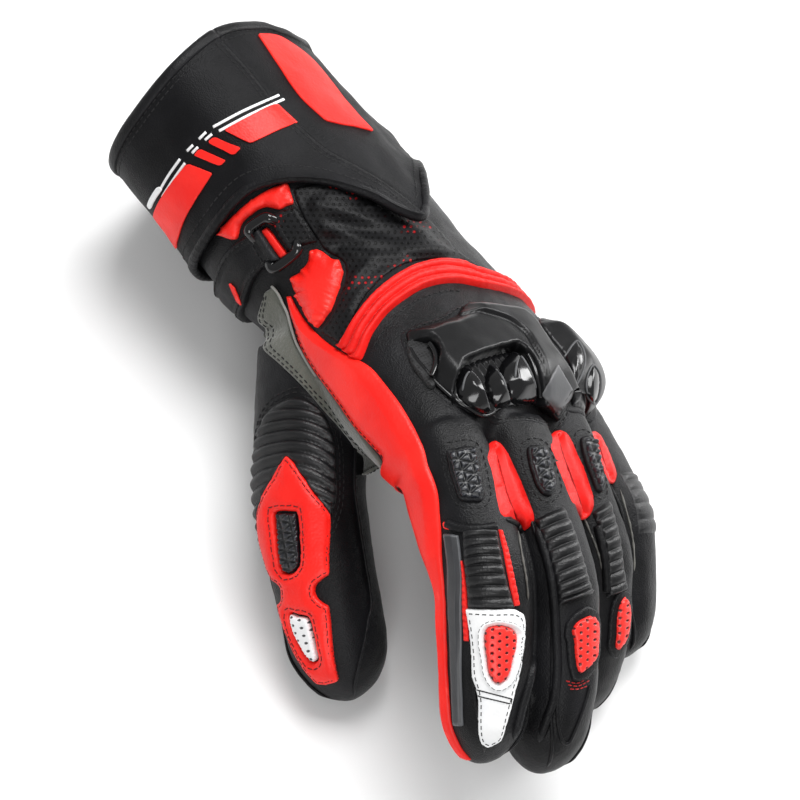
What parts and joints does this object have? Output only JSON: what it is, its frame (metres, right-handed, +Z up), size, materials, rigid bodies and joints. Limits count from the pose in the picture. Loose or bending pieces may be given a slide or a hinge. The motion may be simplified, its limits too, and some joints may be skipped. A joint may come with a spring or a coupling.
{
  "type": "motorcycle gauntlet glove",
  "caption": "Left leather racing gauntlet lying palm down: long cuff with a pointed edge, wrist strap, knuckle guards, ribbed finger joints and sewn-on red and white panels.",
  "frame": {"origin": "middle of the footprint, on the surface that the glove lies on", "axes": "+Z up, fingers towards -Y, cuff towards +Y, thumb towards -X"},
  "size_m": [0.1436, 0.2782, 0.0962],
  "materials": {
    "black_leather": "fine-grained satin leather",
    "red_leather": "smooth coated leather",
    "white_leather": "smooth coated leather",
    "olive_suede": "matt suede",
    "satin_plastic": "satin moulded",
    "gloss_plastic": "polished",
    "grey_plastic": "satin moulded",
    "pebble_rubber": "pebbled",
    "red_plastic": "satin, perforated"
  },
  "bodies": {
    "root": {"cuff_shell": "black_leather", "cuff_rim_binding": "black_leather", "cuff_edge_piping": "black_leather", "wrist_sleeve": "black_leather", "hand_shell": "black_leather", "index_finger_shell": "black_leather", "middle_finger_shell": "black_leather", "ring_finger_shell": "black_leather", "little_finger_shell": "black_leather", "thumb_shell": "black_leather", "red_side_gusset": "red_leather", "grey_suede_strip": "olive_suede", "red_rib_band": "red_leather", "red_wrist_patch": "red_leather", "red_wrist_tab": "red_leather", "wrist_strap": "black_leather", "palm_heel_patch": "olive_suede", "strap_buckle": "satin_plastic", "strap_tab": "red_leather", "knuckle_guard": "satin_plastic", "guard_fin_1": "gloss_plastic", "guard_fin_2": "gloss_plastic", "guard_fin_3": "gloss_plastic", "outer_knuckle_guard": "satin_plastic", "index_knuckle_pad": "pebble_rubber", "middle_knuckle_pad": "pebble_rubber", "ring_knuckle_pad": "pebble_rubber", "index_ribs": "black_leather", "middle_ribs": "black_leather", "ring_ribs": "black_leather", "little_ribs": "black_leather", "index_side_strip": "grey_plastic", "index_white_pad": "white_leather", "index_red_insert": "red_plastic", "middle_red_insert": "red_plastic", "ring_red_insert": "red_plastic", "thumb_ribs": "black_leather", "thumb_red_patch": "red_leather", "thumb_pebble_insert": "pebble_rubber", "thumb_white_insert": "white_leather", "index_middle_web": "red_leather", "middle_ring_web": "red_leather", "ring_little_web": "red_leather"}
  },
  "joints": []
}
